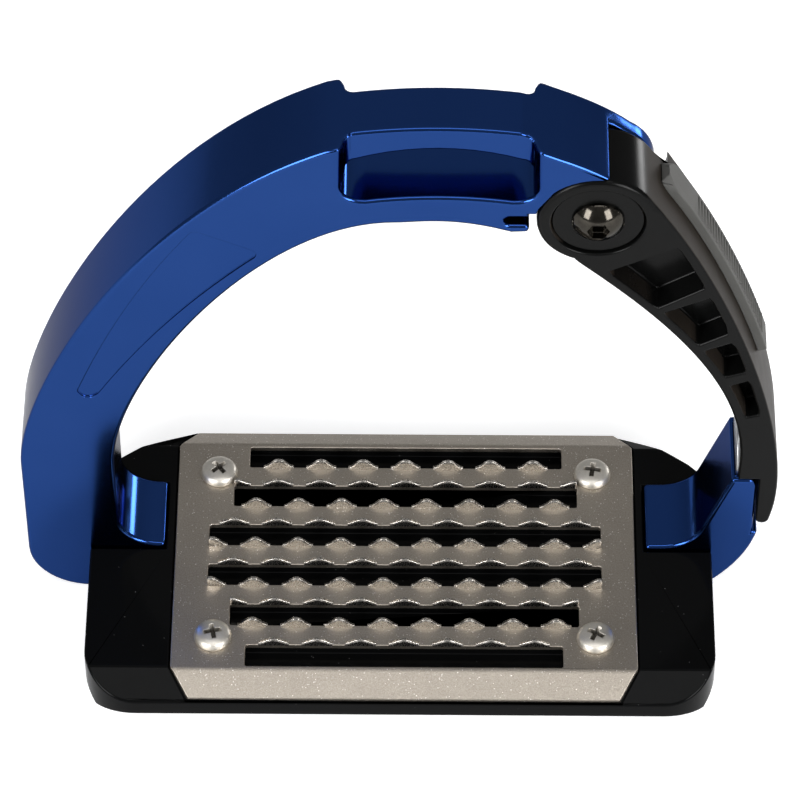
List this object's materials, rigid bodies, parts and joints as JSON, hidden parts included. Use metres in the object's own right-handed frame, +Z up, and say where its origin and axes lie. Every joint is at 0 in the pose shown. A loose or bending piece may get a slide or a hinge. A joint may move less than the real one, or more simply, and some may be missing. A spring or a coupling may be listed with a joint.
{
  "type": "stirrup iron",
  "caption": "Safety stirrup iron: metal arch with leather eye, offset grater tread, and a sprung outer arm that swings open sideways to free the foot.",
  "frame": {"origin": "on the floor, on the sole's underside, below the tread plate's middle and in the mid-plane of the frame's section", "axes": "+X across the foot from the closed branch to the release arm, +Y from the front (toe side of the tread's overhang) to the back, +Z up along the leather's pull"},
  "size_m": [0.1595, 0.0726, 0.1436],
  "materials": {
    "anodised_blue": "glossy blue anodised, machined edges",
    "black_gloss_plastic": "glossy moulded black plastic",
    "black_satin_plastic": "semi-gloss moulded black plastic, glass filled",
    "tread_steel": "satin blasted stainless sheet",
    "screw_steel": "bright stainless",
    "dark_steel": "blackened steel, polished head",
    "keeper_steel": "nickel plated",
    "spring_steel": "oiled spring wire",
    "brass_inserts": "turned",
    "grey_rubber": "matt moulded"
  },
  "bodies": {
    "iron": {"frame": "anodised_blue", "footbed": "black_gloss_plastic", "sole_plate": "black_satin_plastic", "tread_plate": "tread_steel", "tread_screws": "screw_steel", "tread_inserts": "brass_inserts", "base_screws": "screw_steel", "base_inserts": "brass_inserts", "keeper_disc": "keeper_steel", "pivot_screw": "dark_steel", "pivot_sleeve": "screw_steel", "front_washer": "black_satin_plastic", "rear_washer": "screw_steel", "return_spring": "spring_steel"},
    "arm": {"release_arm": "black_satin_plastic", "arm_bumper": "grey_rubber", "arm_magnet": "keeper_steel"}
  },
  "joints": [
    {"name": "arm_hinge", "type": "hinge", "parent": "iron", "child": "arm", "pos_m": [0.0381, 0, 0.1205], "axis": [0, -1, 0], "range_deg": [0, 50], "stiffness_Nm_per_rad": 0.12, "springref_deg": -40.11, "deforming": ["return_spring"]}
  ]
}
